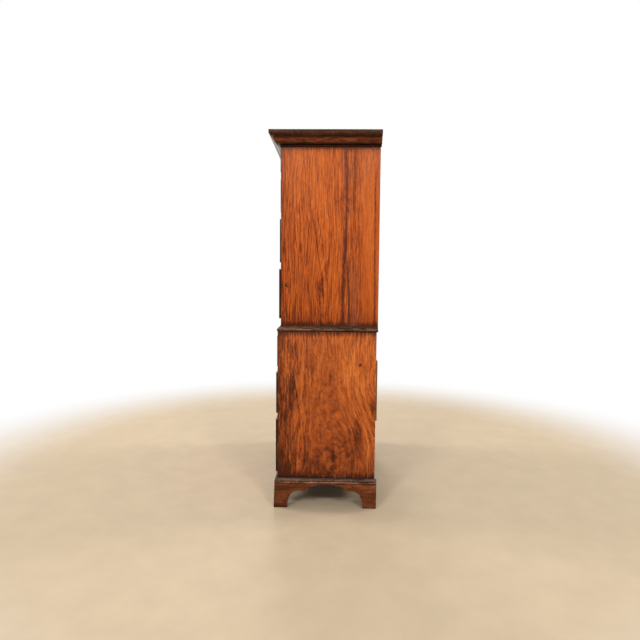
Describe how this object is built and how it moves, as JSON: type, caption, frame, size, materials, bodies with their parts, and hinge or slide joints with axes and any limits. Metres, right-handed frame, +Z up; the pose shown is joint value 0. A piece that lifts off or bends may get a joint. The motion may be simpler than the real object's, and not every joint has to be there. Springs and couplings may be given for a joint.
{
  "type": "highboy",
  "caption": "Tall two-part chest of drawers on bracket feet, with a moulded cornice, cock-beaded drawers and brass swan-neck bail handles.",
  "frame": {"origin": "on the floor, in the middle of the overall width and depth", "axes": "+Z up, the drawer fronts face -Y, and +X is to the right of someone who stands facing them"},
  "size_m": [1.1116, 0.5254, 1.8048],
  "materials": {
    "figured_mahogany": "old french-polished figured mahogany, soft gloss",
    "straight_mahogany": "old french-polished straight-grained mahogany, soft gloss",
    "mahogany_fronts": "french-polished mahogany with a rounded bead",
    "dark_mahogany": "darkened polished mahogany, worn on its edges",
    "foot_mahogany": "reddish brown polished mahogany, scuffed",
    "oak_insides": "bare planed oak, aged",
    "pine_boards": "bare sawn pine, aged",
    "brass": "old cast brass, tarnished in the hollows"
  },
  "bodies": {
    "carcase": {"base_moulding_front": "foot_mahogany", "base_moulding_left": "foot_mahogany", "base_moulding_right": "foot_mahogany", "bracket_foot_front_left": "foot_mahogany", "bracket_foot_front_right": "foot_mahogany", "bracket_foot_rear_left": "foot_mahogany", "bracket_foot_rear_right": "foot_mahogany", "cornice_front": "dark_mahogany", "cornice_left": "dark_mahogany", "cornice_right": "dark_mahogany", "lower_back": "pine_boards", "lower_back_patch": "pine_boards", "lower_bottom_board": "pine_boards", "lower_divider_1": "oak_insides", "lower_divider_2": "oak_insides", "lower_side_left": "figured_mahogany", "lower_side_right": "figured_mahogany", "lower_top_board": "pine_boards", "upper_back": "pine_boards", "upper_bottom_board": "pine_boards", "upper_divider_1": "oak_insides", "upper_divider_2": "oak_insides", "upper_divider_3": "oak_insides", "upper_side_left": "straight_mahogany", "upper_side_right": "straight_mahogany", "upper_top_board": "pine_boards", "upper_top_rail": "oak_insides", "waist_moulding_front": "dark_mahogany", "waist_moulding_left": "dark_mahogany", "waist_moulding_right": "dark_mahogany"},
    "lower_bottom_drawer": {"lower_bottom_drawer_front": "mahogany_fronts", "lower_bottom_drawer_box": "oak_insides"},
    "lower_middle_drawer": {"lower_middle_drawer_front": "mahogany_fronts", "lower_middle_drawer_box": "oak_insides"},
    "lower_top_drawer": {"lower_top_drawer_front": "mahogany_fronts", "lower_top_drawer_box": "oak_insides"},
    "upper_bottom_drawer": {"upper_bottom_drawer_front": "mahogany_fronts", "upper_bottom_drawer_box": "oak_insides"},
    "upper_third_drawer": {"upper_third_drawer_front": "mahogany_fronts", "upper_third_drawer_box": "oak_insides"},
    "upper_second_drawer": {"upper_second_drawer_front": "mahogany_fronts", "upper_second_drawer_box": "oak_insides"},
    "upper_left_drawer": {"upper_left_drawer_front": "mahogany_fronts", "upper_left_drawer_box": "oak_insides"},
    "upper_right_drawer": {"upper_right_drawer_front": "mahogany_fronts", "upper_right_drawer_box": "oak_insides"},
    "lower_bottom_left_bail": {"lower_bottom_left_bail": "brass"},
    "lower_bottom_right_bail": {"lower_bottom_right_bail": "brass"},
    "lower_middle_left_bail": {"lower_middle_left_bail": "brass"},
    "lower_middle_right_bail": {"lower_middle_right_bail": "brass"},
    "lower_top_left_bail": {"lower_top_left_bail": "brass"},
    "lower_top_right_bail": {"lower_top_right_bail": "brass"},
    "upper_bottom_left_bail": {"upper_bottom_left_bail": "brass"},
    "upper_bottom_right_bail": {"upper_bottom_right_bail": "brass"},
    "upper_third_left_bail": {"upper_third_left_bail": "brass"},
    "upper_third_right_bail": {"upper_third_right_bail": "brass"},
    "upper_second_left_bail": {"upper_second_left_bail": "brass"},
    "upper_second_right_bail": {"upper_second_right_bail": "brass"},
    "upper_left_bail": {"upper_left_bail": "brass"},
    "upper_right_bail": {"upper_right_bail": "brass"}
  },
  "joints": [
    {"name": "lower_bottom_drawer_slide", "type": "slide", "parent": "carcase", "child": "lower_bottom_drawer", "axis": [0, -1, 0], "range_m": [-0.0075, 0.32]},
    {"name": "lower_bottom_left_bail_swing", "type": "hinge", "parent": "lower_bottom_drawer", "child": "lower_bottom_left_bail", "pos_m": [-0.26, -0.24335, 0.31233], "axis": [-1, 0, 0], "range_deg": [-12, 150]},
    {"name": "lower_bottom_right_bail_swing", "type": "hinge", "parent": "lower_bottom_drawer", "child": "lower_bottom_right_bail", "pos_m": [0.26, -0.24335, 0.31233], "axis": [-1, 0, 0], "range_deg": [-12, 150]},
    {"name": "lower_middle_drawer_slide", "type": "slide", "parent": "carcase", "child": "lower_middle_drawer", "axis": [0, -1, 0], "range_m": [-0.006, 0.32]},
    {"name": "lower_middle_left_bail_swing", "type": "hinge", "parent": "lower_middle_drawer", "child": "lower_middle_left_bail", "pos_m": [-0.26, -0.24185, 0.57313], "axis": [-1, 0, 0], "range_deg": [-12, 150]},
    {"name": "lower_middle_right_bail_swing", "type": "hinge", "parent": "lower_middle_drawer", "child": "lower_middle_right_bail", "pos_m": [0.26, -0.24185, 0.57313], "axis": [-1, 0, 0], "range_deg": [-12, 150]},
    {"name": "lower_top_drawer_slide", "type": "slide", "parent": "carcase", "child": "lower_top_drawer", "axis": [0, -1, 0], "range_m": [-0.001, 0.32]},
    {"name": "lower_top_left_bail_swing", "type": "hinge", "parent": "lower_top_drawer", "child": "lower_top_left_bail", "pos_m": [-0.26, -0.23685, 0.77653], "axis": [-1, 0, 0], "range_deg": [-12, 150]},
    {"name": "lower_top_right_bail_swing", "type": "hinge", "parent": "lower_top_drawer", "child": "lower_top_right_bail", "pos_m": [0.26, -0.23685, 0.77653], "axis": [-1, 0, 0], "range_deg": [-12, 150]},
    {"name": "upper_bottom_drawer_slide", "type": "slide", "parent": "carcase", "child": "upper_bottom_drawer", "axis": [0, -1, 0], "range_m": [-0.0075, 0.32]},
    {"name": "upper_bottom_left_bail_swing", "type": "hinge", "parent": "upper_bottom_drawer", "child": "upper_bottom_left_bail", "pos_m": [-0.26, -0.22885, 1.05839], "axis": [-1, 0, 0], "range_deg": [-12, 150]},
    {"name": "upper_bottom_right_bail_swing", "type": "hinge", "parent": "upper_bottom_drawer", "child": "upper_bottom_right_bail", "pos_m": [0.26, -0.22885, 1.05839], "axis": [-1, 0, 0], "range_deg": [-12, 150]},
    {"name": "upper_third_drawer_slide", "type": "slide", "parent": "carcase", "child": "upper_third_drawer", "axis": [0, -1, 0], "range_m": [-0.004, 0.32]},
    {"name": "upper_third_left_bail_swing", "type": "hinge", "parent": "upper_third_drawer", "child": "upper_third_left_bail", "pos_m": [-0.26, -0.22535, 1.31124], "axis": [-1, 0, 0], "range_deg": [-12, 150]},
    {"name": "upper_third_right_bail_swing", "type": "hinge", "parent": "upper_third_drawer", "child": "upper_third_right_bail", "pos_m": [0.26, -0.22535, 1.31124], "axis": [-1, 0, 0], "range_deg": [-12, 150]},
    {"name": "upper_second_drawer_slide", "type": "slide", "parent": "carcase", "child": "upper_second_drawer", "axis": [0, -1, 0], "range_m": [-0.0005, 0.32]},
    {"name": "upper_second_left_bail_swing", "type": "hinge", "parent": "upper_second_drawer", "child": "upper_second_left_bail", "pos_m": [-0.26, -0.22185, 1.52174], "axis": [-1, 0, 0], "range_deg": [-12, 150]},
    {"name": "upper_second_right_bail_swing", "type": "hinge", "parent": "upper_second_drawer", "child": "upper_second_right_bail", "pos_m": [0.26, -0.22185, 1.52174], "axis": [-1, 0, 0], "range_deg": [-12, 150]},
    {"name": "upper_left_drawer_slide", "type": "slide", "parent": "carcase", "child": "upper_left_drawer", "axis": [0, -1, 0], "range_m": [-0.001, 0.32]},
    {"name": "upper_left_bail_swing", "type": "hinge", "parent": "upper_left_drawer", "child": "upper_left_bail", "pos_m": [-0.24875, -0.22235, 1.67784], "axis": [-1, 0, 0], "range_deg": [-12, 150]},
    {"name": "upper_right_drawer_slide", "type": "slide", "parent": "carcase", "child": "upper_right_drawer", "axis": [0, -1, 0], "range_m": [-0.001, 0.32]},
    {"name": "upper_right_bail_swing", "type": "hinge", "parent": "upper_right_drawer", "child": "upper_right_bail", "pos_m": [0.24875, -0.22235, 1.67784], "axis": [-1, 0, 0], "range_deg": [-12, 150]}
  ]
}
